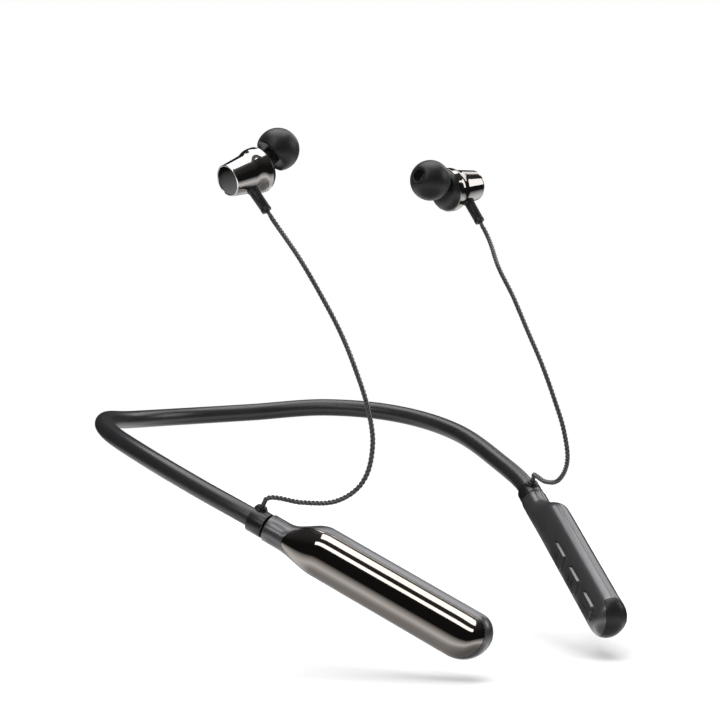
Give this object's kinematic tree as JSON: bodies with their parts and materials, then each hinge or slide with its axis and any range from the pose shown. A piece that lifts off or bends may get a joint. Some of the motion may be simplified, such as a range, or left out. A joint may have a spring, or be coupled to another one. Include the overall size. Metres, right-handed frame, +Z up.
{
  "type": "neckband earphones",
  "caption": "Black silicone neckband with a charcoal pod and polished cover plate at each end, and corded metal earbuds with angled silicone ear tips.",
  "frame": {"origin": "Where the middle of the band rests on the nape of the neck, on the band's inner side, at the band's mid height", "axes": "X across the neck, with +X the wearer's left. The wearer faces -Y, and the pods lie towards -Y. Z is up when worn"},
  "size_m": [0.1244, 0.1732, 0.1406],
  "materials": {
    "silicone": "soft black silicone with a satin sheen",
    "spring_steel": "bright spring wire",
    "cable_jacket": "matt jacket",
    "satin_shell": "satin charcoal moulding",
    "polished_plate": "dark polished metal",
    "polished_housing": "dark polished metal",
    "brass_crimp": "plain brass",
    "circuit_board": "green solder mask",
    "shield_can": "tinned sheet steel",
    "switch_body": "grey plastic",
    "button_cap": "satin charcoal moulding",
    "black_rubber": "matt black rubber",
    "cell_pouch": "foil pouch",
    "foam": "open-cell foam",
    "cord_sheath": "twisted black sheath",
    "gloss_black": "glossy black",
    "magnet_nickel": "nickel plated",
    "driver_steel": "stamped steel",
    "diaphragm_film": "clear amber film",
    "black_plastic": "black moulding",
    "mesh_steel": "fine woven mesh"
  },
  "bodies": {
    "body": {"neckband_sleeve": "silicone", "spring_wire": "spring_steel", "signal_cable": "cable_jacket", "collar_left": "satin_shell", "collar_right": "satin_shell", "cord_grommet_left": "black_rubber", "cord_grommet_right": "black_rubber", "wire_anchor_left": "brass_crimp", "wire_anchor_right": "brass_crimp", "pod_left_inner_shell": "satin_shell", "pod_left_outer_shell": "satin_shell", "pod_left_cover_plate": "polished_plate", "pod_right_inner_shell": "satin_shell", "pod_right_outer_shell": "satin_shell", "pod_right_cover_plate": "polished_plate", "main_board": "circuit_board", "bluetooth_module": "shield_can", "tact_switches": "switch_body", "microphone": "shield_can", "usb_socket": "shield_can", "port_cover_anchor": "black_rubber", "battery_cell": "cell_pouch", "battery_foam_pad": "foam", "battery_protection_board": "circuit_board", "cord_left": "cord_sheath", "cord_right": "cord_sheath", "bud_left_housing": "polished_housing", "bud_left_rear_disc": "gloss_black", "bud_left_magnet": "magnet_nickel", "bud_left_driver_frame": "driver_steel", "bud_left_driver_magnet": "magnet_nickel", "bud_left_diaphragm": "diaphragm_film", "bud_left_baffle": "black_plastic", "bud_left_nozzle_mesh": "mesh_steel", "bud_left_strain_relief": "black_rubber", "bud_right_housing": "polished_housing", "bud_right_rear_disc": "gloss_black", "bud_right_magnet": "magnet_nickel", "bud_right_driver_frame": "driver_steel", "bud_right_driver_magnet": "magnet_nickel", "bud_right_diaphragm": "diaphragm_film", "bud_right_baffle": "black_plastic", "bud_right_nozzle_mesh": "mesh_steel", "bud_right_strain_relief": "black_rubber"},
    "button_plus": {"button_plus": "button_cap"},
    "button_play": {"button_play": "button_cap"},
    "button_minus": {"button_minus": "button_cap"},
    "port_cover": {"port_cover": "black_rubber"},
    "ear_tip_left": {"bud_left_ear_tip": "silicone"},
    "ear_tip_right": {"bud_right_ear_tip": "silicone"}
  },
  "joints": [
    {"name": "press_plus", "type": "slide", "parent": "body", "child": "button_plus", "axis": [0.9048, -0.4258, 0], "range_m": [0, 0.0003], "stiffness_N_per_m": 2000},
    {"name": "press_play", "type": "slide", "parent": "body", "child": "button_play", "axis": [0.9048, -0.4258, 0], "range_m": [0, 0.0003], "stiffness_N_per_m": 2000},
    {"name": "press_minus", "type": "slide", "parent": "body", "child": "button_minus", "axis": [0.9048, -0.4258, 0], "range_m": [0, 0.0003], "stiffness_N_per_m": 2000},
    {"name": "port_cover_swing", "type": "hinge", "parent": "body", "child": "port_cover", "pos_m": [0.02357, -0.16502, -0.04101], "axis": [-0.9048, 0.4258, 0], "range_deg": [0, 110]},
    {"name": "ear_tip_left_pull", "type": "slide", "parent": "body", "child": "ear_tip_left", "axis": [-0.9578, -0.1391, 0.2513], "range_m": [0, 0.006]},
    {"name": "ear_tip_right_pull", "type": "slide", "parent": "body", "child": "ear_tip_right", "axis": [0.7619, -0.1391, 0.6326], "range_m": [0, 0.006]}
  ]
}
